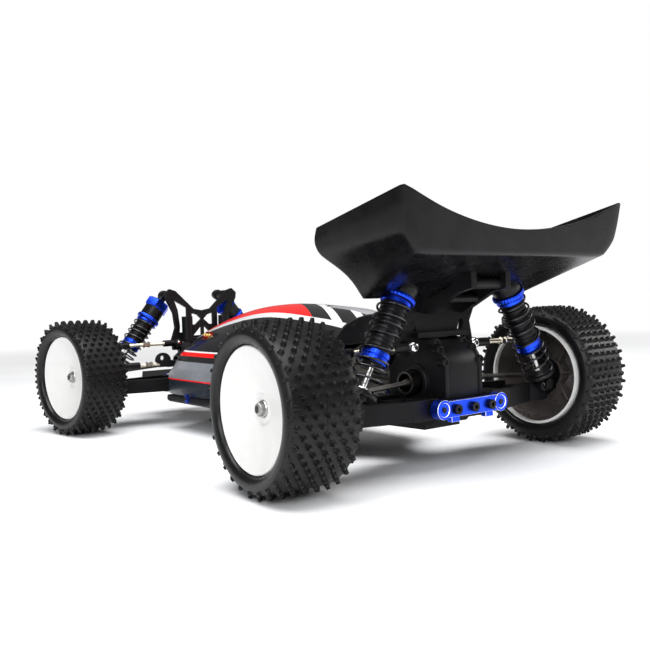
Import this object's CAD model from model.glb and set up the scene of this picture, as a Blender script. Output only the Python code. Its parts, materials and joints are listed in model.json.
"""A 1/10-scale off-road buggy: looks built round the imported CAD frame."""
import json
import math

import bmesh
import bpy
from mathutils import Matrix, Vector


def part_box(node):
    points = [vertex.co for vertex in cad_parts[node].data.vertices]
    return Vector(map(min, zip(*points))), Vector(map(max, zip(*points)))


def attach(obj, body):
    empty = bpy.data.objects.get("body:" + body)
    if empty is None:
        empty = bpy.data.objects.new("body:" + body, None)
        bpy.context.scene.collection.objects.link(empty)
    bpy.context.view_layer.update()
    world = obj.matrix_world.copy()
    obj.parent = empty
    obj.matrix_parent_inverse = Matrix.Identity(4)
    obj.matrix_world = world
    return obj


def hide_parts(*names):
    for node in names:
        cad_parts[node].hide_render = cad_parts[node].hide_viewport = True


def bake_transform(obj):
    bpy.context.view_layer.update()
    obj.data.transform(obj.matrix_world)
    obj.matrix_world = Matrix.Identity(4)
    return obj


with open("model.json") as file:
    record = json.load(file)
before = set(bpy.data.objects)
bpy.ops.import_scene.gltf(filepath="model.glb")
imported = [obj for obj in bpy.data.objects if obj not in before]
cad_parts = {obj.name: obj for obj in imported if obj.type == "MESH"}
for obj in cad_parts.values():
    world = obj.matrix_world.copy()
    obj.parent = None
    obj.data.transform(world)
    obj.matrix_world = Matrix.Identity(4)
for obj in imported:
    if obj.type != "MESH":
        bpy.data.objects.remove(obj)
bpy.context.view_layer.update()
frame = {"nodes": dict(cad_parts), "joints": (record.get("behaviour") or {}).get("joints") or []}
MM = 0.001
joints = {j["name"]: j for j in frame["joints"]}


def pivot(name):
    return Vector(joints[name]["pos_m"])


REAR_X = pivot("rear_diff_spin").x
CORNERS = [(end, side) for end in ("rear", "front") for side in ("left", "right")]


# ------------------------------------------------------------------ materials
class Val:
    """A number or vector inside a material, with ordinary arithmetic."""

    def __init__(self, graph, socket):
        self.graph = graph
        self.socket = socket

    def __add__(self, other):
        return self.graph.math("ADD", self, other)

    def __sub__(self, other):
        return self.graph.math("SUBTRACT", self, other)

    def __rsub__(self, other):
        return self.graph.math("SUBTRACT", other, self)

    def __mul__(self, other):
        return self.graph.math("MULTIPLY", self, other)


class Graph:
    """The node tree of one material."""

    def __init__(self, name, **fixed):
        self.material = bpy.data.materials.new(name)
        self.material.use_nodes = True
        self.nodes = self.material.node_tree.nodes
        self.links = self.material.node_tree.links
        self.shader = self.nodes["Principled BSDF"]
        for socket, value in fixed.items():
            self.shader.inputs[socket.replace("_", " ")].default_value = value
        self.place = Val(self, self.nodes.new("ShaderNodeTexCoord").outputs["Object"])

    def put(self, socket, value):
        if isinstance(value, Val):
            self.links.new(value.socket, socket)
        else:
            socket.default_value = value

    def math(self, operation, *values, clamp=False):
        node = self.nodes.new("ShaderNodeMath")
        node.operation = operation
        node.use_clamp = clamp
        for socket, value in zip(node.inputs, values):
            self.put(socket, value)
        return Val(self, node.outputs[0])

    def axes(self):
        """Place on the object in millimetres, as x, y and z."""
        node = self.nodes.new("ShaderNodeSeparateXYZ")
        self.put(node.inputs[0], self.place)
        return [Val(self, out) * 1000.0 for out in node.outputs]

    def noise(self, size_mm, detail=3.0, stretch=(1, 1, 1)):
        mapping = self.nodes.new("ShaderNodeMapping")
        mapping.inputs["Scale"].default_value = stretch
        self.put(mapping.inputs["Vector"], self.place)
        node = self.nodes.new("ShaderNodeTexNoise")
        self.links.new(mapping.outputs[0], node.inputs["Vector"])
        node.inputs["Scale"].default_value = 1000.0 / size_mm
        node.inputs["Detail"].default_value = detail
        return Val(self, node.outputs["Fac"])

    def ramp(self, value, low, high, start=0.0, end=1.0):
        """A straight run from start to end while the value goes from low to high."""
        node = self.nodes.new("ShaderNodeMapRange")
        self.put(node.inputs["Value"], value)
        for socket, number in zip(list(node.inputs)[1:5], (low, high, start, end)):
            self.put(socket, number)
        return Val(self, node.outputs[0])

    def over(self, value, edge, soft=0.12):
        """1 where the value is over the edge, 0 under it."""
        return self.math("MULTIPLY_ADD", value - edge, 0.5 / soft, 0.5, clamp=True)

    def band(self, value, low, high, soft=0.12):
        """1 between low and high, 0 outside."""
        return self.over(value, low, soft) * (1.0 - self.over(value, high, soft))

    def mix(self, mask, first, second):
        node = self.nodes.new("ShaderNodeMix")
        node.data_type = "RGBA"
        self.put(node.inputs[0], mask)
        for socket, colour in ((node.inputs[6], first), (node.inputs[7], second)):
            self.put(socket, colour if isinstance(colour, Val) else (*colour, 1.0))
        return Val(self, node.outputs[2])

    def bump(self, height, distance_mm, strength=1.0, base=None):
        node = self.nodes.new("ShaderNodeBump")
        node.inputs["Strength"].default_value = strength
        node.inputs["Distance"].default_value = distance_mm * MM
        self.put(node.inputs["Height"], height)
        if base is not None:
            self.put(node.inputs["Normal"], base)
        return Val(self, node.outputs[0])

    def rounded(self, radius_mm):
        node = self.nodes.new("ShaderNodeBevel")
        node.samples = 4
        node.inputs["Radius"].default_value = radius_mm * MM
        return Val(self, node.outputs[0])

    def finish(self, colour=None, roughness=None, normal=None):
        inputs = self.shader.inputs
        if colour is not None:
            self.put(inputs["Base Color"], colour)
        if roughness is not None:
            self.put(inputs["Roughness"], roughness)
        if normal is not None:
            self.put(inputs["Normal"], normal)
        return self.material


def plain_plastic(name, dark, light, rough, grain_mm, grain_depth, round_mm=0.0, **fixed):
    """Moulded plastic or rubber: slow shade changes, fine grain and soft edges."""
    g = Graph(name, **fixed)
    slow = g.noise(22.0, 4.0)
    fine = g.noise(grain_mm, 2.0)
    colour = g.mix(g.ramp(slow * 0.6 + fine * 0.4, 0.35, 0.65), dark, light)
    roughness = g.ramp(slow * 0.5 + fine * 0.5, 0.3, 0.7, rough - 0.07, rough + 0.07)
    base = g.rounded(round_mm) if round_mm else None
    return g.finish(colour, roughness, g.bump(fine, grain_depth, 0.5, base))


def metal(name, dark, light, rough, stretch=(1, 1, 1), round_mm=0.0, **fixed):
    """Turned or anodised metal: fine drawn streaks and a little wear in the tone."""
    g = Graph(name, Metallic=1.0, **fixed)
    streak = g.noise(1.2, 3.0, stretch)
    slow = g.noise(9.0, 3.0)
    colour = g.mix(g.ramp(streak * 0.5 + slow * 0.5, 0.35, 0.65), dark, light)
    roughness = g.ramp(streak, 0.3, 0.7, rough - 0.06, rough + 0.08)
    base = g.rounded(round_mm) if round_mm else None
    return g.finish(colour, roughness, g.bump(streak, 0.02, 0.4, base))


tread_rubber = plain_plastic("tread_rubber", (0.0022, 0.0022, 0.0024), (0.0085, 0.0082, 0.008),
                             0.40, 0.9, 0.06, Specular_IOR_Level=0.22)
side_rubber = plain_plastic("side_rubber", (0.0025, 0.0025, 0.0027), (0.0075, 0.0075, 0.0078),
                            0.32, 2.5, 0.05, Specular_IOR_Level=0.26)
white_plastic = plain_plastic("white_plastic", (0.65, 0.645, 0.63), (0.71, 0.705, 0.69), 0.36, 8.0, 0.01)
smoked_plastic = plain_plastic("wheel_inside", (0.090, 0.078, 0.073), (0.150, 0.130, 0.122),
                               0.30, 2.4, 0.03, Specular_IOR_Level=0.45)
nylon = plain_plastic("black_nylon", (0.0025, 0.0025, 0.003), (0.008, 0.008, 0.009),
                      0.44, 0.7, 0.06, 0.45, Specular_IOR_Level=0.15)
smooth_nylon = plain_plastic("smooth_black_nylon", (0.0028, 0.0028, 0.0032), (0.008, 0.008, 0.009),
                             0.34, 0.8, 0.03, Specular_IOR_Level=0.22)
wing_plastic = plain_plastic("wing_plastic", (0.0022, 0.0022, 0.0026), (0.006, 0.006, 0.0066),
                             0.27, 9.0, 0.008, Specular_IOR_Level=0.19)
blue_metal = metal("blue_anodised", (0.010, 0.045, 0.62), (0.025, 0.095, 0.92), 0.30, (1, 1, 6))
blue_block = metal("blue_anodised_block", (0.010, 0.050, 0.66), (0.025, 0.095, 0.95), 0.36, (1, 6, 1))
bare_edge = metal("bare_chamfer", (0.80, 0.82, 0.90), (0.95, 0.96, 1.0), 0.38, (1, 6, 1))
steel = metal("bright_steel", (0.50, 0.50, 0.49), (0.72, 0.71, 0.69), 0.26, (1, 1, 5))
edge_steel = metal("machined_steel", (0.20, 0.19, 0.18), (0.36, 0.34, 0.31), 0.34, (1, 1, 5), 0.2)
nut_steel = metal("nut_steel", (0.24, 0.24, 0.24), (0.44, 0.435, 0.42), 0.30, (1, 1, 1), 0.2)
ball_steel = metal("polished_ball", (0.78, 0.78, 0.78), (0.92, 0.92, 0.91), 0.16)
rod_steel = metal("plated_rod", (0.42, 0.38, 0.30), (0.66, 0.61, 0.50), 0.28, (4, 1, 4))
dark_steel = metal("black_spring_wire", (0.035, 0.035, 0.037), (0.08, 0.08, 0.085), 0.30)
black_screw = metal("black_screw", (0.012, 0.012, 0.013), (0.040, 0.040, 0.042), 0.36, (1, 1, 1), 0.2)
black_oxide = metal("black_oxide_steel", (0.020, 0.019, 0.018), (0.070, 0.066, 0.060), 0.34, (1, 5, 1), 0.2)
gold = metal("gold_plate", (0.62, 0.42, 0.12), (0.85, 0.62, 0.25), 0.22)
red_metal = metal("red_anodised", (0.45, 0.01, 0.01), (0.70, 0.03, 0.03), 0.30)


def livery():
    """Painted polycarbonate in plain racing colours: level stripes on the sides, bars across the roof."""
    g = Graph("shell_livery", Coat_Weight=0.35, Coat_Roughness=0.08)
    x, across, z = g.axes()
    d = x - REAR_X * 1000.0
    y = g.math("ABSOLUTE", across)
    speck = g.noise(1.4, 2.0)
    cloud = g.noise(30.0, 4.0)
    white, black, red = (0.82, 0.82, 0.82), (0.008, 0.008, 0.009), (0.80, 0.006, 0.006)
    grey_tone = g.mix(g.ramp(cloud * 0.7 + speck * 0.3, 0.35, 0.65), (0.17, 0.18, 0.20), (0.26, 0.27, 0.29))
    navy_tone = g.mix(g.ramp(cloud, 0.3, 0.7), (0.012, 0.016, 0.024), (0.020, 0.026, 0.036))

    # sides, from the bottom up: navy, a red pinstripe, grey, black, and a red stripe with a white edge
    panel_low, panel_top, stripe_low, stripe_top = 38.0, 52.0, 56.0, 59.0
    colour = g.mix(g.over(z, panel_low), navy_tone, grey_tone)
    colour = g.mix(g.band(z, panel_low, panel_low + 1.0), colour, red)
    colour = g.mix(g.over(z, panel_top), colour, black)
    colour = g.mix(g.band(z, stripe_low, stripe_top), colour, red)
    colour = g.mix(g.band(z, stripe_top, stripe_top + 1.0), colour, white)

    # roof: red ahead and black behind, two white bars, a grey centre stripe and pale shoulders
    roof_half, red_start, centre_half, centre_end, tail_end = 24.0, 130.0, 8.0, 90.0, 48.0
    slant = d + y * 2.0
    roof_colour = g.mix(g.over(slant, red_start), black, red)
    for bar in (70.0, 100.0):
        roof_colour = g.mix(g.band(slant, bar, bar + 10.0), roof_colour, white)
    centre = (1.0 - g.over(y, centre_half)) * (1.0 - g.over(d, centre_end))
    roof_colour = g.mix(centre, roof_colour, (0.34, 0.345, 0.36))
    colour = g.mix(1.0 - g.over(y, roof_half), colour, roof_colour)
    colour = g.mix(g.band(y, roof_half, roof_half + 4.0), colour, (0.60, 0.60, 0.62))
    colour = g.mix(1.0 - g.over(d, tail_end), colour, black)
    roughness = g.ramp(speck * 0.4 + cloud * 0.6, 0.3, 0.7, 0.20, 0.30)
    return g.finish(colour, roughness, g.bump(cloud, 0.12, 0.35))


shell_paint = livery()
window_tint = plain_plastic("shell_inside", (0.03, 0.03, 0.032), (0.06, 0.06, 0.062), 0.4, 2.0, 0.04)


# ------------------------------------------------------------------ building pieces
def smooth(points, steps=4, ring=False):
    """A smooth line through the points (Catmull-Rom), as a longer list of points."""
    count = len(points)
    vectors = [Vector(p) for p in points]
    out = []
    for k in range(count if ring else count - 1):
        near = [(k + i) % count if ring else min(max(k + i, 0), count - 1) for i in (-1, 0, 1, 2)]
        a, b, c, e = (vectors[i] for i in near)
        for step in range(steps):
            t = step / steps
            out.append(0.5 * (2 * b + (c - a) * t + (2 * a - 5 * b + 4 * c - e) * t ** 2
                              + (3 * b - a - 3 * c + e) * t ** 3))
    if not ring:
        out.append(vectors[-1])
    return out


def curve(points, steps=3, ring=False):
    """A smooth line through flat (radius, height) points."""
    return [(p.x, p.y) for p in smooth([(*point, 0) for point in points], steps, ring)]


def raised(base, *points):
    """(radius, height) points with their heights counted from a base."""
    return [(radius, base + height) for radius, height in points]


def show(name, data):
    """Puts a mesh, lamp or camera in the scene."""
    thing = bpy.data.objects.new(name, data)
    bpy.context.scene.collection.objects.link(thing)
    return thing


def frame_at(origin, along, up=(0, 0, 1)):
    """A place whose Z axis points along a direction."""
    z = Vector(along).normalized()
    x = Vector(up).cross(z).normalized()
    y = z.cross(x)
    return Matrix((
        (x.x, y.x, z.x, origin[0]),
        (x.y, y.y, z.y, origin[1]),
        (x.z, y.z, z.z, origin[2]),
        (0, 0, 0, 1),
    ))


class Piece:
    """One visible piece, put together from turned, drawn and extruded shapes."""

    def __init__(self, name):
        self.name = name
        self.verts = []
        self.faces = []
        self.face_looks = []
        self.looks = []

    def add(self, verts, faces, look, place=None):
        if look not in self.looks:
            self.looks.append(look)
        base = len(self.verts)
        self.verts += [place @ Vector(v) if place else Vector(v) for v in verts]
        self.faces += [[base + i for i in face] for face in faces]
        self.face_looks += [self.looks.index(look)] * len(faces)

    def turn(self, profile, look, place, steps=48, ring=False, scale=None, capped=True):
        """A turned shape from (radius, height) points in millimetres, round the place's Z axis."""
        verts, rows = [], []
        for radius, height in profile:
            if radius == 0:
                rows.append([len(verts)])
                verts.append((0, 0, height * MM))
                continue
            row = []
            for k in range(steps):
                angle = 2 * math.pi * k / steps
                r = radius * MM * (scale(angle, radius, height) if scale else 1.0)
                row.append(len(verts))
                verts.append((r * math.cos(angle), r * math.sin(angle), height * MM))
            rows.append(row)
        faces = []
        pairs = list(zip(rows, rows[1:])) + ([(rows[-1], rows[0])] if ring else [])
        for low, high in pairs:
            if len(low) + len(high) == 2:
                continue
            for k in range(steps):
                n = (k + 1) % steps
                if len(low) == 1:
                    faces.append((low[0], high[n], high[k]))
                elif len(high) == 1:
                    faces.append((low[k], low[n], high[0]))
                else:
                    faces.append((low[k], low[n], high[n], high[k]))
        if capped and not ring:
            faces += [row for row in (rows[0], rows[-1]) if len(row) > 1]
        self.add(verts, faces, look, place)

    def tube(self, path, radius, look, side, steps=10):
        """A round rod or wire of a given radius in metres along a path of points."""
        verts, faces = [], []
        last = len(path) - 1
        for k, point in enumerate(path):
            along = (path[min(k + 1, last)] - path[max(k - 1, 0)]).normalized()
            first = along.cross(side).normalized()
            second = along.cross(first)
            for n in range(steps):
                angle = 2 * math.pi * n / steps
                verts.append(point + (first * math.cos(angle) + second * math.sin(angle)) * radius)
        for k in range(last):
            for n in range(steps):
                m = (n + 1) % steps
                faces.append((k * steps + n, k * steps + m, (k + 1) * steps + m, (k + 1) * steps + n))
        faces.append(tuple(range(steps)))
        faces.append(tuple(range(last * steps, (last + 1) * steps)))
        self.add(verts, faces, look)

    def prism(self, outline, low, high, look, place):
        """A straight block with a flat outline of (x, y) millimetres."""
        count = len(outline)
        verts = [(x * MM, y * MM, h * MM) for h in (low, high) for x, y in outline]
        faces = [tuple(range(count)), tuple(range(count, 2 * count))]
        faces += [(k, (k + 1) % count, count + (k + 1) % count, count + k) for k in range(count)]
        self.add(verts, faces, look, place)

    def done(self, body, nodes=(), bevel=0.0, sharp=32.0, edge_look=None):
        """Makes the object; bevelled edges can have a look of their own."""
        mesh = bpy.data.meshes.new(self.name)
        if edge_look:
            self.looks.append(edge_look)
        mesh.from_pydata(self.verts, [], self.faces)
        for look in self.looks:
            mesh.materials.append(look)
        mesh.polygons.foreach_set("material_index", self.face_looks)
        work = bmesh.new()
        work.from_mesh(mesh)
        bmesh.ops.recalc_face_normals(work, faces=work.faces)
        if bevel:
            edges = [e for e in work.edges if e.is_manifold and e.calc_face_angle() > math.radians(30)]
            bmesh.ops.bevel(work, geom=edges, offset=bevel * MM, segments=1 if edge_look else 2, profile=0.6,
                            affect="EDGES", clamp_overlap=True,
                            material=len(self.looks) - 1 if edge_look else -1)
        work.to_mesh(mesh)
        work.free()
        mesh.shade_smooth()
        mesh.set_sharp_from_angle(angle=math.radians(sharp))
        piece = show(self.name, mesh)
        if body:
            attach(piece, body)
        if nodes:
            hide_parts(*nodes)
        return piece


def hexed(depth):
    """Flattens a turned ring towards a hexagon; depth is 0 to 1."""
    def scale(angle, radius, height):
        part = (angle + math.pi / 6) % (math.pi / 3) - math.pi / 6
        return 1.0 - depth * (1.0 - math.cos(math.pi / 6) / math.cos(part))
    return scale


def knurled(count, depth):
    """Cuts a turned ring with even grooves."""
    def scale(angle, radius, height):
        return 1.0 - depth * (0.5 + 0.5 * math.cos(count * angle))
    return scale


# ------------------------------------------------------------------ tyres and wheels
TYRES = {
    "rear": {"half": 20.4, "face": 17.7, "cup": -21.0, "cup_depth": 7.0},
    "front": {"half": 17.1, "face": 13.4, "cup": -16.3, "cup_depth": 8.0},
}
RIM = 31.0


def wheel_place(corner):
    """The wheel's centre, with Z pointing outward along its axle."""
    joint = joints[corner + "_wheel_spin"]
    centre = Vector(joint["pos_m"])
    outward = Vector(joint["axis"]) * (1.0 if centre.y > 0 else -1.0)
    return frame_at(centre, outward)


def add_pin(piece, place, radius, height):
    """One rubber pin, with a filleted foot and a soft tip."""
    ring = 10
    rows = ((1.75, -0.12), (1.30, 0.14), (1.08, 0.45), (0.96, 0.85), (0.82, 0.97), (0.5, 1.0))
    verts, faces = [], []
    for scale, level in rows:
        for k in range(ring):
            angle = 2 * math.pi * k / ring
            verts.append((radius * scale * math.cos(angle) * MM, radius * scale * math.sin(angle) * MM,
                          height * level * MM))
    for row in range(len(rows) - 1):
        for k in range(ring):
            n = (k + 1) % ring
            faces.append((row * ring + k, row * ring + n, (row + 1) * ring + n, (row + 1) * ring + k))
    faces.append(tuple(range((len(rows) - 1) * ring, len(rows) * ring)))
    faces.append(tuple(reversed(range(ring))))
    piece.add(verts, faces, tread_rubber, place)


def make_tyre(end, side):
    """A rubber tyre with staggered rows of pins."""
    corner = end + "_" + side
    low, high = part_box(corner + "_tyre")
    radius = (high.z - low.z) / 2 / MM
    half = TYRES[end]["half"]
    place = wheel_place(corner)
    base = radius - 2.7
    flank = [(RIM + 0.2, 0.80), (RIM + 0.9, 0.90), (33.4, 0.965), (35.8, 0.99), (37.6, 0.975)]
    crown = [(37.6, 0.975), (base - 0.9, 0.90), (base - 0.25, 0.80), (base, 0.62), (base + 0.1, 0.3)]
    piece = Piece(corner + "_tyre_rubber")
    for sign in (1, -1):
        wall = [(r, sign * w * half) for r, w in curve(flank, 4)]
        piece.turn(wall, side_rubber, place, 96, capped=False)
    tread = [(r, w * half) for r, w in curve(crown, 4)]
    # a faint parting line just off the middle
    line_top = base + 0.32
    parting = raised(0.02 * half, (base + 0.1, 0.25), (line_top, 0.1), (line_top, -0.1), (base + 0.1, -0.25))
    outer = tread + parting + [(r, -w) for r, w in reversed(tread)]
    piece.turn(outer, tread_rubber, place, 96, capped=False)
    cavity = [(RIM + 0.2, 0.80), (RIM + 0.3, 0.66), (34.5, 0.80), (base - 3.0, 0.78)]
    cavity = [(r, -w * half) for r, w in cavity] + [(r, w * half) for r, w in reversed(cavity)]
    piece.turn(cavity, tread_rubber, place, 96, capped=False)
    rows = 56
    pitch = 6.5 if end == "rear" else 6.0
    for row in range(rows):
        spin = place @ Matrix.Rotation(2 * math.pi * row / rows, 4, "Z")
        spots = [-3, -2, -1, 0, 1, 2, 3] if row % 2 == 0 else [-2.5, -1.5, -0.5, 0.5, 1.5, 2.5]
        for spot in spots:
            across = spot * pitch
            if abs(across) > 0.88 * half:
                continue
            lean = 0.12 * across / half
            direction = Vector((math.cos(lean), 0, math.sin(lean)))
            drop = max(0.0, abs(across) / half - 0.6)
            foot = frame_at(Vector(((base - drop) * MM, 0, across * MM)), direction, (0, 1, 0))
            add_pin(piece, spin @ foot, 1.08, radius - base - 0.05)
        if row % 2 == 0:
            for sign in (1, -1):
                shoulder = Vector(((base - 1.6) * MM, 0, sign * 0.91 * half * MM))
                add_pin(piece, spin @ frame_at(shoulder, (0.62, 0, sign * 0.78), (0, 1, 0)), 1.1, 1.5)
    piece.done(corner + "_wheel", [corner + "_tyre"], sharp=40.0)


def make_wheel(end, side):
    """A white dish, smoked on its inside, with its axle, cup and hexagonal nut."""
    corner = end + "_" + side
    size = TYRES[end]
    face, half = size["face"], size["half"]
    recess = face - 7.6
    place = wheel_place(corner)
    outer = raised(recess, (3.1, 0), (6.4, 0), (7.2, 0.1), (8.3, 0.9), (9.6, 1.15))
    outer += raised(face, (20.0, -3.25), (28.6, -0.75), (29.5, -0.35), (30.2, -0.05), (30.8, -0.45),
                    (RIM, -1.4))
    outer = curve(outer)
    inner = [(RIM, -0.90 * half), (RIM - 0.5, -0.955 * half), (RIM - 1.7, -0.955 * half),
             (RIM - 2.0, -0.92 * half), (RIM - 1.8, -0.80 * half)]
    inner += raised(face, (RIM - 1.6, -5.5), (RIM - 2.4, -2.9), (20.0, -5.0))
    inner += raised(recess, (8.7, -1.6), (8.5, -2.6), (8.5, -9.0), (3.1, -9.0))
    piece = Piece(corner + "_wheel_dish")
    piece.turn(outer + inner[:5], white_plastic, place, 96, capped=False)
    piece.turn(inner[4:] + outer[:1], smoked_plastic, place, 96, capped=False)
    rib = [(8.3, -0.6), (20.0, -0.6), (20.0, 0.6), (8.3, 0.6)]
    for k in range(6):
        spoke = place @ Matrix.Rotation(math.pi / 3 * k, 4, "Z")
        piece.prism(rib, recess - 6.5, recess - 1.0, smoked_plastic, spoke)
    piece.done(corner + "_wheel", [corner + "_wheel"])

    hub = Piece(corner + "_axle")
    cup, cup_end = size["cup"], size["cup"] + size["cup_depth"]
    drum = raised(cup, (4.8, 0.3), (6.2, 0), (6.5, 0.4)) + raised(cup_end, (6.5, 1.1), (6.1, 1.5), (5.0, 1.5))
    drum += raised(recess, (5.0, -9.0), (3.0, -9.0), (3.0, -3.0), (0, -3.0)) + [(0, cup_end), (4.8, cup_end)]
    hub.turn(drum, edge_steel, place, 40)
    thread = [(2.0 - 0.14 * (k % 2), recess - 1.0 + 0.35 * k) for k in range(13)]
    stub = raised(recess, (0, -1.0)) + thread + raised(recess, (1.6, 3.6), (0, 3.6))
    hub.turn(stub, black_oxide, place, 32)
    flange = raised(recess, (2.1, 0.02), (4.3, 0.02), (4.4, 0.3), (4.0, 0.9), (2.1, 1.3))
    hub.turn(flange, nut_steel, place, 48, ring=True, scale=knurled(24, 0.02))
    nut = raised(recess, (2.05, 0.9), (3.5, 0.9), (3.5, 2.6), (3.2, 3.0), (2.7, 3.1), (2.5, 3.5), (2.05, 3.6))
    hub.turn(nut, nut_steel, place, 48, ring=True, scale=hexed(0.95))
    hub.done(corner + "_wheel", [corner + "_wheel"], sharp=28.0)


for end, side in CORNERS:
    make_tyre(end, side)
    make_wheel(end, side)


# ------------------------------------------------------------------ shocks
# distances along the shock from its top eye, in millimetres
SHOCKS = {
    "rear": {"hat": 3.4, "collar": 14.0, "body": 54.0, "perch": 68.0},
    "front": {"hat": 5.6, "collar": 23.0, "body": 54.5, "perch": 71.0},
}


def shock_place(corner):
    """The shock's top eye, with Z pointing down its length and X along the car."""
    top = pivot(corner + "_shock_swing")
    along = Vector(joints[corner + "_shock_travel"]["axis"])
    y = along.cross(Vector((1, 0, 0)))
    return Matrix((
        (1, y.x, along.x, top.x),
        (0, y.y, along.y, top.y),
        (0, y.z, along.z, top.z),
        (0, 0, 0, 1),
    ))


def eye(piece, place, s, radius):
    """A rod end across the shock with a pivot ball in it."""
    across = place @ Matrix.Translation((0, 0, s * MM)) @ Matrix.Rotation(math.pi / 2, 4, "Y")
    ring = [(2.6, -1.9), (radius - 0.5, -2.4), (radius, -1.2), (radius, 1.2), (radius - 0.5, 2.4), (2.6, 1.9),
            (2.35, 0)]
    piece.turn(curve(ring, ring=True), smooth_nylon, across, 32, ring=True)
    globe = [(2.75 * math.cos(a), 2.75 * math.sin(a)) for a in (-0.8, -0.4, 0, 0.4, 0.8)]
    piece.turn([(1.5, -2.7)] + globe + [(1.5, 2.7)], steel, across, 24, ring=True)


def make_barrel(end, corner, place):
    """The shock's upper half: eye, cap, spring collar, threaded barrel and lower cap."""
    size = SHOCKS[end]
    hat, collar, body_end = size["hat"], size["collar"], size["body"]
    body = Piece(corner + "_shock_barrel")
    eye(body, place, 0, 4.4)
    body.turn([(0, 1.5), (3.4, 1.5), (3.4, hat), (0, hat)], smooth_nylon, place, 24)
    if end == "rear":
        # a black domed head with a blue hexagonal plug
        plug = raised(hat, (0, -1.6), (3.6, -1.6), (4.4, -1.1), (4.6, -0.4), (4.6, 1.4), (0, 1.4))
        body.turn(plug, blue_metal, place, 48, scale=hexed(0.9))
        dome = curve(raised(hat, (4.4, 0.5), (6.4, 1.1), (8.0, 2.6), (8.7, 4.4), (8.8, 6.4)))
        body.turn([(0, hat + 0.5)] + dome + raised(hat, (8.5, 7.1), (0, 7.1)), smooth_nylon, place, 60)
    else:
        # a blue hexagonal cap
        cap = raised(hat, (0, 0), (5.6, 0), (8.2, 0.7), (9.8, 1.7), (10.0, 2.2), (10.0, 7.6), (9.4, 8.3),
                     (0, 8.3))
        body.turn(cap, blue_metal, place, 72, scale=hexed(0.9))
    neck = raised(hat, (0, 6.6), (8.3, 6.6), (8.5, 7.4), (8.2, 8.0))
    neck += raised(collar, (8.2, -1.2), (7.7, -0.4), (0, -0.4))
    body.turn(neck, smooth_nylon, place, 48)
    wide = raised(collar, (0, -0.6), (8.4, -0.6), (9.2, -0.2), (9.4, 0.3), (9.4, 1.7), (9.1, 2.2), (0, 2.2))
    body.turn(wide, blue_metal, place, 72, scale=knurled(36, 0.03))
    body.turn(raised(collar, (0, 2.2), (7.6, 2.2), (7.6, 2.9), (0, 2.9)), smooth_nylon, place, 48)
    narrow = raised(collar, (0, 2.9), (8.0, 2.9), (8.2, 3.2), (8.2, 4.7), (7.7, 5.2), (0, 5.2))
    body.turn(narrow, blue_metal, place, 48)
    thread = raised(collar, (0, 5.0), (7.05, 5.0))
    s = collar + 5.8
    while s < body_end - 9.5:
        thread += raised(s, (7.05, 0), (6.6, 0.45), (6.6, 0.75), (7.05, 1.2), (7.05, 1.9))
        s += 2.4
    body.turn(thread + raised(body_end, (7.0, -8.0), (0, -8.0)), smooth_nylon, place, 40)
    low_cap = raised(body_end, (0, -8.3), (7.0, -8.3), (7.5, -7.8), (7.5, -5.6), (7.1, -5.2), (7.1, -4.8),
                     (7.5, -4.4), (7.5, -2.4), (7.0, -1.8), (0, -1.8))
    body.turn(low_cap, blue_metal, place, 60, scale=knurled(20, 0.02))
    seal = raised(body_end, (2.0, -2.0), (6.2, -2.0), (6.2, -1.3), (5.6, -0.8), (2.0, -0.8))
    body.turn(seal, smooth_nylon, place, 40, ring=True)
    body.done(corner + "_shock_body", [corner + "_shock_body"])


def make_rod(end, corner, place):
    """The shock's lower half: plated rod, nut, spring seat and foot eye."""
    body_end, perch = SHOCKS[end]["body"], SHOCKS[end]["perch"]
    eye_radius = 4.5
    foot_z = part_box(corner + "_shock_shaft")[0].z + (eye_radius + 0.1) * MM
    foot = (foot_z - place[2][3]) / place[2][2] / MM
    shaft = Piece(corner + "_shock_rod")
    rod = raised(body_end, (0, -12.5), (1.5, -12.5), (1.58, -12.0)) + raised(perch, (1.58, 1.0), (0, 1.0))
    shaft.turn(rod, steel, place, 28)
    nut = raised(perch, (0, -2.6), (2.5, -2.6), (2.7, -2.3), (2.7, -0.8), (0, -0.8))
    shaft.turn(nut, steel, place, 24, scale=hexed(0.9))
    seat = raised(perch, (1.7, -0.9), (6.6, -0.9), (7.0, -0.4), (7.1, 0.3), (8.7, 0.4), (9.0, 0.8),
                  (9.0, 1.9), (8.6, 2.4), (1.7, 2.4))
    shaft.turn(seat, smooth_nylon, place, 56, ring=True)
    stem = raised(perch, (0, 2.2), (4.1, 2.2), (4.0, 3.4), (2.6, 4.4))
    stem += raised(foot, (2.5, -3.0), (3.0, -1.5), (0, -1.5))
    shaft.turn(stem, smooth_nylon, place, 28)
    eye(shaft, place, foot, eye_radius)
    shaft.done(corner + "_shock_shaft", [corner + "_shock_shaft"])


def make_spring(end, corner, place):
    """The coil, whose turns lie closer at its two ends, slightly wider at its foot."""
    spring = Piece(corner + "_spring_coil")
    wire, turns = 0.62, 8.5
    first, last = SHOCKS[end]["collar"] + 2.2 + wire, SHOCKS[end]["perch"] - wire
    path, steps = [], int(turns * 28)
    for k in range(steps + 1):
        t = k / steps
        ease = t + 0.035 * math.sin(4 * math.pi * t) * (1 - t) * t * 4
        angle = 2 * math.pi * turns * t
        radius = 8.35 + 0.2 * t
        path.append(place @ Vector((radius * math.cos(angle) * MM, radius * math.sin(angle) * MM,
                                    (first + (last - first) * ease) * MM)))
    spring.tube(path, wire * MM, dark_steel, place.col[2].to_3d())
    coil = spring.done(None, [corner + "_spring"])
    start = place @ Vector((0, 0, first * MM))
    end_point = place @ Vector((0, 0, last * MM))
    corner + "_shock_body"
    corner + "_shock_shaft"
    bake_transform(coil)


for end, side in CORNERS:
    corner = end + "_" + side
    for make in (make_barrel, make_rod, make_spring):
        make(end, corner, shock_place(corner))


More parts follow.
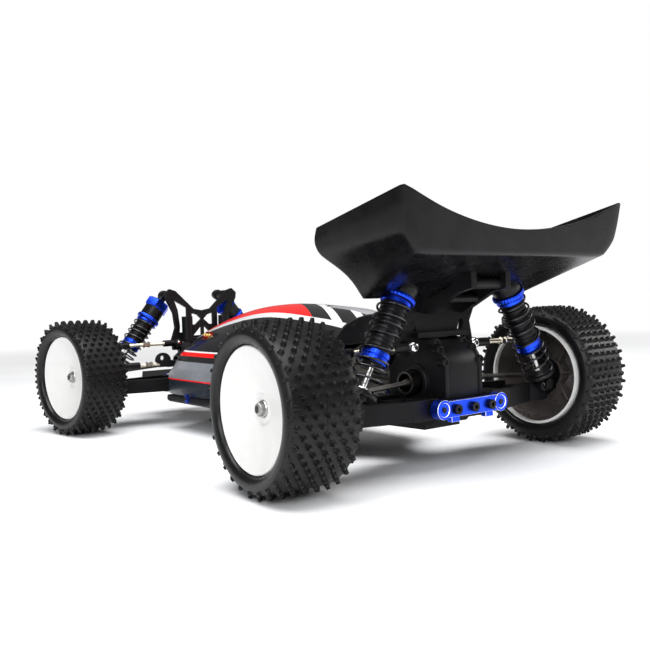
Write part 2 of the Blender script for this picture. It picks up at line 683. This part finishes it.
# ------------------------------------------------------------------ rods between ball ends
def ball_ends(node, radius):
    """The centres of a rod's two balls: its pivot, and a ball of the given radius at its box's far side."""
    inner = pivot(node + "_swing")
    low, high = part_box(node)
    far_y = high.y - radius * MM if "left" in node else low.y + radius * MM
    return inner, Vector((low.x + high.x - inner.x, far_y, low.z + high.z - inner.z))


def make_link(node, look_cap, end_length):
    """A turnbuckle: plated rod with a hexagonal middle, and a moulded cup on each ball."""
    radius = 3.0 if "steering" in node else 3.2
    inner, outer = ball_ends(node, radius)
    length = (outer - inner).length / MM
    place = frame_at(inner, outer - inner)
    piece = Piece(node + "_turnbuckle")
    thread = []
    s = end_length - 3.0
    while s < length - end_length + 3.0:
        thread += [(1.5, s), (1.36, s + 0.3)]
        s += 0.6
    rod = [(0, end_length - 3.0)] + thread + [(0, length - end_length + 3.0)]
    piece.turn(rod, rod_steel, place, 20)
    middle = raised(length / 2, (0, -3.0), (1.7, -3.0), (2.35, -2.5), (2.35, -1.6), (1.8, -1.2), (1.8, 1.2),
                    (2.35, 1.6), (2.35, 2.5), (1.7, 3.0), (0, 3.0))
    piece.turn(middle, rod_steel, place, 36, scale=hexed(0.8))
    up = Vector((0, 0, 1)) if "steering" in node else Vector((-1 if "rear" in node else 1, 0, 0))
    for start, way in ((0.0, 1), (length, -1)):
        cup = [(1.62, end_length), (2.3, end_length), (2.55, end_length - 0.6), (2.5, 4.5), (2.3, 3.0),
               (1.62, 2.6)]
        cup = curve([(r, start + way * reach) for r, reach in cup])
        piece.turn(cup, smooth_nylon, place, 28, ring=True)
        socket = frame_at(place @ Vector((0, 0, start * MM)), up, (0, 1, 0))
        ring = [(2.0, -1.9), (radius - 0.4, -1.9), (radius, -0.9), (radius, 0.9), (radius - 0.4, 1.9),
                (2.0, 1.9), (1.8, 0)]
        piece.turn(curve(ring, ring=True), smooth_nylon, socket, 32, ring=True)
        # the ball's cap is larger on the inner end of a rear link
        big = 3.25 if "rear" in node and way > 0 else 2.6
        tip = 1.6 + big * math.sin(0.8)
        ball = [(0, -2.7), (1.2, -2.7)] + [(2.6 * math.cos(a), 2.6 * math.sin(a)) for a in (-0.8, -0.4)]
        ball += [(big * math.cos(a), 1.6 + big * math.sin(a)) for a in (-0.45, -0.2, 0.05, 0.3, 0.55, 0.8)]
        ball += raised(tip, (1.7, 0.35), (1.25, 0.35), (1.25, -0.6), (0, -0.6))
        piece.turn(ball, look_cap, socket, 28)
        piece.turn(raised(tip, (0, -0.7), (1.2, -0.7), (1.2, -0.5), (0, -0.5)), black_screw, socket, 12)
    piece.done(node, [node])


for end, side in CORNERS:
    make_link(end + "_" + side + "_upper_link", ball_steel, 13.0)
for side in ("left", "right"):
    make_link("front_" + side + "_steering_link", steel, 19.0)


# ------------------------------------------------------------------ the wing
def make_wing():
    """A deep moulded wing: sloping floor, tall end plates and a dished rear lip."""
    rear = REAR_X / MM
    floor_z, front_z, tip_z, dip_z = 114.5, 95.0, 143.6, 126.2
    tip_y, fold_y = 82.5, 61.2
    floor_spots = [0.0, 18.0, 36.0, 52.0, 64.0]
    spans, rows = 8, 5

    def lip(z):
        """How far back the leaning rear lip is at a height."""
        return rear - 61.6 - 0.156 * (z - 113.8)

    def lip_top(y):
        return dip_z + (tip_z - dip_z) * min(1.0, abs(y) / tip_y) ** 2.0

    def section(t):
        """Half a section, from mid floor to the end plate's top, at t from 0 (rear) to 1 (front)."""
        def run(y, z, front, rise=0.0):
            ends = zip((lip(z), y, z), front)
            return tuple(a + (b - a) * t + (rise * math.sin(math.pi * t) if k == 2 else 0.0)
                         for k, (a, b) in enumerate(ends))
        floor = [run(y, floor_z, (rear - 12.4, y * 0.86, front_z)) for y in floor_spots]
        return floor + [
            run(71.4, 115.0, (rear - 11.6, fold_y, front_z)),
            run(76.0, 118.6, (rear - 15.0, 71.5, 106.4), -0.8),
            run(80.2, 123.8, (rear - 3.4, 81.0, 117.0), -0.6),
            run(81.9, 133.0, (rear - 0.6, 82.3, 122.4)),
            run(82.2, 139.0, (rear - 1.9, 82.4, 127.0)),
            run(tip_y, tip_z, (rear - 3.4, 82.5, 130.2)),
        ]

    stations = [section(k / spans) for k in range(spans + 1)]
    verts, faces, index = [], [], {}

    def vert(point):
        key = tuple(round(c, 3) for c in point)
        if key not in index:
            index[key] = len(verts)
            verts.append([c * MM for c in point])
        return index[key]

    for a, b in zip(stations, stations[1:]):
        for i in range(len(a) - 1):
            for sign in (1, -1):
                quad = [a[i], b[i], b[i + 1], a[i + 1]]
                faces.append([vert((x, y * sign, z)) for x, y, z in quad][::sign])
    # the rear lip: from the floor's rear edge up to an edge that dips in the middle
    steps = range(rows + 1)
    columns = [[(y, floor_z + (lip_top(y) - floor_z) * r / rows) for r in steps] for y in floor_spots]
    columns.append([(y, z) for x, y, z in stations[0][len(floor_spots):]])
    for sign in (1, -1):
        lines = [[(lip(z), y * sign, z) for y, z in column] for column in columns]
        for a, b in zip(lines, lines[1:]):
            for r in range(rows):
                faces.append([vert(point) for point in (a[r], b[r], b[r + 1], a[r + 1])][::sign])
    mesh = bpy.data.meshes.new("wing_moulding")
    mesh.from_pydata(verts, [], faces)
    work = bmesh.new()
    work.from_mesh(mesh)
    bmesh.ops.remove_doubles(work, verts=work.verts, dist=0.02 * MM)
    bmesh.ops.recalc_face_normals(work, faces=work.faces)
    corner = work.verts.layers.float.new("crease_vert")
    for v in work.verts:
        if abs(v.co.z / MM - front_z) < 0.01 and abs(abs(v.co.y) / MM - fold_y) < 0.01:
            v[corner] = 1.0
    # firm folds: the rear corner, the under-wall line and the ridge
    crease = work.edges.layers.float.new("crease_edge")
    for e in work.edges:
        if len(e.link_faces) == 2:
            angle = e.calc_face_angle()
            if angle > math.radians(50):
                e[crease] = 0.55
            elif angle > math.radians(16):
                e[crease] = 0.35
        else:
            e[crease] = 1.0
    work.to_mesh(mesh)
    work.free()
    mesh.materials.append(wing_plastic)
    return show("wing_moulding", mesh)


def settle(piece, *modifiers, sharp=50.0):
    """Applies modifiers, given as (type, values), and leaves a plain mesh."""
    for kind, values in modifiers:
        modifier = piece.modifiers.new(kind.lower(), kind)
        for key, value in values.items():
            setattr(modifier, key, value)
    depsgraph = bpy.context.evaluated_depsgraph_get()
    mesh = bpy.data.meshes.new_from_object(piece.evaluated_get(depsgraph))
    piece.modifiers.clear()
    piece.data = mesh
    mesh.shade_smooth()
    mesh.set_sharp_from_angle(angle=math.radians(sharp))
    return piece


wing_piece = settle(
    make_wing(),
    ("SUBSURF", {"levels": 2, "render_levels": 2}),
    ("SOLIDIFY", {"thickness": 1.8 * MM, "offset": 0.0}),
    ("BEVEL", {"width": 0.5 * MM, "segments": 3, "limit_method": "ANGLE", "angle_limit": math.radians(50)}),
)
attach(wing_piece, "chassis")
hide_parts("wing")


# ------------------------------------------------------------------ the body shell
# distance ahead of the rear axle, half outline of (y, z) from the sill up, and ridge height
SILL = 27.0
STATIONS = [
    (46.0, [(42.0, SILL), (42.0, 44.0), (39.0, 58.0), (35.5, 70.0), (24.0, 80.0), (11.0, 84.0)], 85.0),
    (72.0, [(47.5, SILL), (47.5, 45.0), (43.0, 58.0), (38.0, 71.0), (26.0, 82.0), (12.0, 88.0)], 89.0),
    (128.0, [(48.0, SILL), (48.0, 46.0), (43.5, 58.0), (38.0, 72.0), (26.0, 86.0), (12.0, 91.5)], 92.7),
    (177.0, [(48.0, SILL), (48.0, 46.0), (44.0, 56.0), (39.5, 68.0), (25.0, 81.5), (11.0, 88.0)], 89.5),
    (225.0, [(48.0, SILL), (48.0, 46.0), (44.0, 52.0), (40.0, 59.0), (26.0, 70.0), (11.0, 77.0)], 78.6),
    (240.0, [(46.5, SILL), (46.5, 42.0), (42.0, 47.0), (37.0, 53.0), (24.0, 62.0), (10.0, 66.0)], 67.0),
]


def shell_line(d, half, top):
    """A half outline with soft shoulders, from sill to ridge, as places in metres."""
    points = [(y, z, 0) for y, z in half]
    low = [(half[0][0], SILL + (half[1][1] - SILL) * k / 5, 0) for k in range(5)]
    upper = smooth(points[1:] + [(0.0, top, 0)], 5)
    return [Vector(((REAR_X / MM + d) * MM, p[0] * MM, p[1] * MM)) for p in low + upper]


def make_shell():
    """The shell's outer skin, closed at both ends but for low openings where the drive line passes."""
    lines = [shell_line(*station) for station in STATIONS]
    count = len(lines[0])
    columns = [smooth([line[i] for line in lines], 10) for i in range(count)]
    along = len(columns[0])
    order = [(i, 1) for i in range(count)] + [(i, -1) for i in range(count - 2, -1, -1)]
    verts = [(p.x, max(p.y, 0.0) * sign, p.z) for i, sign in order for p in columns[i]]
    work = bmesh.new()
    skin = [work.verts.new(v) for v in verts]
    for k in range(len(order) - 1):
        for j in range(along - 1):
            low, high = k * along + j, (k + 1) * along + j
            work.faces.new([skin[i] for i in (low, low + 1, high + 1, high)])
    rear_opening, front_opening = (33.0, 66.0), (16.0, 54.0)
    for j, (half, top) in ((0, rear_opening), (along - 1, front_opening)):
        ring = [verts[k * along + j] for k in range(len(order))]
        for p in range(len(ring) // 2):
            if 2 * p > len(ring) - 3:
                continue
            a, b = Vector(ring[p]), Vector(ring[p + 1])
            if min(a.z, b.z) / MM < top - 0.5:
                # side strips beside the opening
                for sign in (1, -1):
                    strip = [(a, a.y), (b, b.y), (b, min(half * MM, b.y)), (a, min(half * MM, a.y))]
                    work.faces.new([work.verts.new((v.x, y * sign, v.z)) for v, y in strip])
            else:
                spots = ((a, 1), (b, 1), (b, -1), (a, -1))
                corners = [work.verts.new((v.x, v.y * way, v.z)) for v, way in spots]
                at_ridge = abs(b.y) < 1e-6
                work.faces.new(corners[:2] + corners[3:] if at_ridge else corners)
    bmesh.ops.remove_doubles(work, verts=work.verts, dist=0.02 * MM)
    bmesh.ops.recalc_face_normals(work, faces=work.faces)
    mesh = bpy.data.meshes.new("body_shell_painted")
    work.to_mesh(mesh)
    work.free()
    mesh.materials.append(shell_paint)
    mesh.materials.append(window_tint)
    return show("body_shell_painted", mesh)


shell_piece = settle(
    make_shell(),
    ("SOLIDIFY", {"thickness": 1.2 * MM, "offset": -1.0, "material_offset": 1, "material_offset_rim": 0}),
    sharp=35.0,
)
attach(shell_piece, "chassis")
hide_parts("body_shell")


# ------------------------------------------------------------------ hinge pin blocks and small screws
def across_car(x, y, z, way=1):
    """A place at (x, y, z) millimetres whose Z axis points along the car and whose Y axis points up."""
    return Matrix((
        (0, 0, way, x * MM),
        (way, 0, 0, y * MM),
        (0, 1, 0, z * MM),
        (0, 0, 0, 1),
    ))


def make_blocks():
    """The anodised blocks that hold the inner hinge pins, with bright chamfers."""
    piece = Piece("hinge_block_pair")
    low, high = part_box("hinge_pin_blocks")
    reach, foot_y = 4.4, 13.3
    for end, way, x_face in (("rear", -1, low.x / MM), ("front", 1, high.x / MM)):
        pin = pivot(end + "_left_arm_swing") / MM
        half, z = abs(pin.y), pin.z
        place = across_car(x_face, 0, z, way)
        bar = [(-half + 1, -4.4), (half - 1, -4.4), (half - 1, 4.2), (-half + 1, 4.2)]
        piece.prism(bar, -reach, -0.4, blue_block, place)
        if end == "rear":
            for side in (-1, 1):
                left, right = side * foot_y - 3, side * foot_y + 3
                foot = [(left, -7.2), (right, -7.2), (right, -3.8), (left, -3.8)]
                piece.prism(foot, -reach, -0.9, blue_block, place)
        for side in (-1, 1):
            depth = -5.8 if end == "rear" else -4.4
            piece.turn([(1.5, depth), (5.2, depth), (5.2, 0.0), (3.7, 0.0), (3.7, -0.35), (1.5, -0.35)],
                       blue_block, across_car(x_face, side * half, z, way), 40, ring=True)
    piece.done("chassis", ["hinge_pin_blocks"], bevel=0.38, sharp=28.0, edge_look=bare_edge)


def make_case():
    """The rear gear case: a rounded back, bearing housings and screw lugs down both edges."""
    piece = Piece("rear_gear_case")
    low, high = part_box("rear_gearbox")
    back, top, bottom = low.x / MM, high.z / MM, low.z / MM
    half = 14.6
    axle = REAR_X / MM
    rise, depth = 16.5, axle - back
    shoulder = top - rise

    def outline(grow):
        angles = [a * math.pi / 48 for a in range(23)]
        arc = [(axle - (depth + grow) * math.cos(a), shoulder + (rise + grow) * math.sin(a)) for a in angles]
        return [(back - grow, bottom + 4.0)] + arc + [
            (axle + 6.0, top + grow), (axle + 16.0, top - 9.5), (axle + 22.0, top - 18.5),
            (axle + 22.0, bottom), (axle - 10.0, bottom), (axle - 14.0, bottom + 4.0)]

    side_on = Matrix(((1, 0, 0, 0), (0, 0, -1, 0), (0, 1, 0, 0), (0, 0, 0, 1)))
    piece.prism(outline(-0.5), -half + 1.2, half - 1.2, nylon, side_on)
    for side in (-1, 1):
        cheek = side * (half - 1.3)
        piece.prism(outline(0.0), cheek - 1.3, cheek + 1.3, nylon, side_on)
        housing = frame_at(Vector((REAR_X, 0, pivot("rear_diff_spin").z)), (0, side, 0))
        ring = raised(half, (7.1, -1.0), (9.8, -1.0), (9.8, 1.5), (9.1, 2.2), (7.1, 2.2))
        piece.turn(ring, nylon, housing, 56, ring=True)
        for lift, lug_side, size in ((4.0, half - 0.9, 2.5), (10.5, half - 1.5, 2.5), (13.8, 10.6, 2.9)):
            reach = depth * math.sqrt(1.0 - (lift / rise) ** 2)
            lug = across_car(axle - reach, side * lug_side, shoulder + lift - 0.5, -1)
            boss = [(0, -4.0), (size, -4.0), (size, 0.4), (size - 0.5, 0.9), (1.3, 0.9), (1.3, -0.2),
                    (0, -0.2)]
            piece.turn(boss, nylon, lug, 28)
            piece.turn([(0, -0.25), (1.25, -0.25), (1.1, 0.25), (0, 0.25)], black_screw, lug, 16)
    piece.done("chassis", ["rear_gearbox"], bevel=0.35, sharp=34.0)


def make_drive_shaft(corner):
    """A slim dog-bone rod with a ball and a cross pin at each end."""
    node = corner + "_drive_shaft"
    ball, neck = 2.9, 0.9
    inner, outer = ball_ends(node, ball)
    place = frame_at(inner, outer - inner)
    length = (outer - inner).length / MM
    piece = Piece(corner + "_dog_bone")
    angles = [a * math.pi / 10 for a in range(8)]
    near = [(0, -ball)] + [(ball * math.sin(a), -ball * math.cos(a)) for a in angles[1:]]
    near += [(1.9, ball + neck), (1.35, ball + neck + 2.0)]
    far = [(r, length - h) for r, h in reversed(near)]
    piece.turn(near + [(1.3, length / 2)] + far, edge_steel, place, 32)
    pin = [(0, -3.8), (0.7, -3.8), (0.9, -3.6), (0.9, 3.6), (0.7, 3.8), (0, 3.8)]
    for s in (0.0, length):
        across = frame_at(place @ Vector((0, 0, s * MM)), (1, 0, 0))
        piece.turn(pin, edge_steel, across, 16)
    piece.done(node, [node], sharp=30.0)


def make_trim():
    """Small fittings: blue clips on the side guards, a plug on the nose and the arch on the rack."""
    clips = Piece("guard_clips")
    for side in (-1, 1):
        for ahead in (0.204, 0.096):
            place = frame_at(Vector((REAR_X + ahead, side * 0.0499, 0.0256)), (0, side, 0))
            clips.prism([(-2.2, -3.2), (2.2, -3.2), (2.2, 3.2), (-2.2, 3.2)], -0.4, 0.9, blue_metal, place)
            clips.turn([(0, 0.7), (0.8, 0.7), (0.8, 1.3), (1.3, 1.3), (1.5, 1.0), (1.5, 0.4), (0, 0.4)],
                       black_screw, place, 20)
    clips.done("chassis", [], bevel=0.3, sharp=28.0)
    plug = Piece("nose_plug")
    place = frame_at(Vector((REAR_X + 0.1990, 0.0330, 0.0703)), (-0.05, 0.74, 0.67), (1, 0, 0))
    plug.prism([(-3.0, -5.4), (3.0, -5.4), (3.4, -4.6), (3.4, 4.6), (3.0, 5.4), (-3.0, 5.4), (-3.4, 4.6),
                (-3.4, -4.6)], -2.5, 1.6, red_metal, place)
    for along in (-3.4, 0.0, 3.4):
        pin = place @ Matrix.Translation((0, along * MM, 0))
        contact = [(0, 1.0), (1.35, 1.0), (1.35, 2.4), (1.1, 2.8), (0.7, 2.8), (0.6, 2.2), (0, 2.2)]
        plug.turn(contact, gold, pin, 24)
    plug.done("chassis", [], bevel=0.25, sharp=28.0)
    arch = Piece("rack_arch")
    y, z = 47.2, 51.6
    angles = [a * math.pi / 8 for a in range(16)]
    outline = [(29.0, 46.4), (44.0, 46.4), (52.0, 50.2)]
    outline += [(y + 6.3 * math.cos(a), z + 6.3 * math.sin(a)) for a in angles[:9]]
    outline += [(36.0, 50.2), (29.0, 50.0)]
    hole = [(y + 0.8 + 1.9 * math.cos(a), z + 2.2 + 1.9 * math.sin(a)) for a in angles]
    arch_plate(arch, outline, hole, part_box("steering_rack")[0].x / MM)
    arch.done("steering_rack", [], sharp=30.0)


def arch_plate(piece, outline, hole, x):
    """A plate across the car with one round hole through it."""
    flat = bmesh.new()
    rings = []
    for loop in (outline, hole):
        points = [flat.verts.new((x * MM, y * MM, z * MM)) for y, z in loop]
        rings += [flat.edges.new((a, b)) for a, b in zip(points, points[1:] + points[:1])]
    bmesh.ops.triangle_fill(flat, edges=rings, use_beauty=True)
    made = bmesh.ops.extrude_face_region(flat, geom=flat.faces[:])
    moved = [v for v in made["geom"] if isinstance(v, bmesh.types.BMVert)]
    bmesh.ops.translate(flat, verts=moved, vec=(2.6 * MM, 0, 0))
    flat.verts.index_update()
    piece.add([tuple(v.co) for v in flat.verts], [[v.index for v in f.verts] for f in flat.faces], nylon)
    flat.free()


make_blocks()
make_case()
make_trim()
for end, side in CORNERS:
    make_drive_shaft(end + "_" + side)


# ------------------------------------------------------------------ carried-over CAD nodes
def wear(node, look):
    """Gives a CAD node's own mesh a look."""
    mesh = frame["nodes"][node].data
    mesh.materials.clear()
    mesh.materials.append(look)


for end, side in CORNERS:
    wear(end + "_" + side + "_arm", nylon)
for node in ("rear_left_hub", "rear_right_hub", "front_left_caster_block", "front_right_caster_block",
             "front_left_knuckle", "front_right_knuckle", "steering_rack", "front_gearbox",
             "rear_shock_tower", "front_shock_tower", "chassis_plate", "side_guards", "front_bumper",
             "wing_mount", "radio_gear"):
    wear(node, nylon)
for node in ("centre_shaft", "pinion_gear"):
    wear(node, edge_steel)
for node in ("rear_diff", "front_diff"):
    wear(node, black_oxide)
wear("steel_hardware", black_screw)
wear("motor", metal("motor_can", (0.35, 0.35, 0.36), (0.55, 0.55, 0.56), 0.35, (6, 1, 1), 0.3))
wear("battery", plain_plastic("battery_wrap", (0.02, 0.03, 0.14), (0.035, 0.05, 0.22), 0.3, 3.0, 0.05, 0.4))


# ------------------------------------------------------------------ floor, light and camera
def make_floor():
    """A wide pale floor that fades into the white backdrop."""
    g = Graph("pale_floor")
    cloth = g.noise(260.0, 4.0)
    fine = g.noise(3.0, 2.0)
    tone = g.mix(g.ramp(cloth * 0.8 + fine * 0.2, 0.35, 0.65), (0.80, 0.81, 0.83), (0.90, 0.90, 0.905))
    look = g.finish(tone, g.ramp(cloth, 0.3, 0.7, 0.55, 0.7), g.bump(cloth, 3.0, 0.25))
    reach = g.nodes.new("ShaderNodeVectorMath")
    reach.operation = "LENGTH"
    g.put(reach.inputs[0], g.place)
    glow = g.nodes.new("ShaderNodeEmission")
    blend = g.nodes.new("ShaderNodeMixShader")
    g.put(blend.inputs[0], g.ramp(Val(g, reach.outputs["Value"]), 0.5, 1.6))
    g.links.new(g.shader.outputs[0], blend.inputs[1])
    g.links.new(glow.outputs[0], blend.inputs[2])
    g.links.new(blend.outputs[0], g.nodes["Material Output"].inputs["Surface"])
    bpy.ops.mesh.primitive_circle_add(vertices=96, radius=14.0, fill_type="NGON", location=(0, 0, 0))
    floor = bpy.context.object
    floor.name = "studio_floor"
    floor.data.materials.append(look)


def make_light(name, place, target, size, power, colour=(1, 1, 1)):
    """A rectangular softbox aimed at a target."""
    light = bpy.data.lights.new(name, "AREA")
    light.shape = "RECTANGLE"
    light.size, light.size_y = size
    light.energy = power
    light.color = colour
    lamp = show(name, light)
    lamp.location = place
    lamp.rotation_euler = (Vector(target) - Vector(place)).to_track_quat("-Z", "Y").to_euler()


def make_world():
    """The backdrop shows white to the camera, and lights the object more softly."""
    world = bpy.data.worlds.new("studio")
    bpy.context.scene.world = world
    world.use_nodes = True
    nodes, links = world.node_tree.nodes, world.node_tree.links
    back = nodes["Background"]
    back.inputs[0].default_value = (1.0, 1.0, 1.0, 1.0)
    path = nodes.new("ShaderNodeLightPath")
    level = nodes.new("ShaderNodeMapRange")
    level.inputs["To Min"].default_value = 0.17
    level.inputs["To Max"].default_value = 1.0
    links.new(path.outputs["Is Camera Ray"], level.inputs["Value"])
    links.new(level.outputs[0], back.inputs[1])


def make_camera():
    """The camera behind the car and to its left, close to the floor."""
    yaw, pitch, roll = (math.radians(a) for a in (-37.51, -1.696, -1.815))
    ahead = Vector((math.cos(yaw) * math.cos(pitch), math.sin(yaw) * math.cos(pitch), math.sin(pitch)))
    right = ahead.cross(Vector((0, 0, 1))).normalized()
    up = right.cross(ahead)
    turned_right = right * math.cos(roll) + up * math.sin(roll)
    turned_up = up * math.cos(roll) - right * math.sin(roll)
    camera = bpy.data.cameras.new("camera")
    camera.lens = 43.75
    camera.sensor_width = 36.0
    camera.clip_start = 0.01
    holder = show("camera", camera)
    place = Vector((-0.4452, 0.3201, 0.0935))
    columns = (turned_right, turned_up, -ahead, place)
    holder.matrix_world = Matrix([[c[row] for c in columns] for row in range(3)] + [[0, 0, 0, 1]])
    bpy.context.scene.camera = holder


make_floor()
make_world()
make_camera()
make_light("overhead", (-0.25, 0.15, 1.3), (0, 0, 0.05), (1.4, 1.0), 33.0)
make_light("left_softbox", (-1.0, 1.0, 0.7), (0, 0, 0.06), (0.9, 0.7), 13.5, (0.97, 0.985, 1.0))
make_light("right_softbox", (-0.6, -1.2, 0.6), (0, 0, 0.06), (0.8, 0.6), 8.0, (1.0, 0.985, 0.97))
bpy.context.scene.view_settings.view_transform = "Standard"
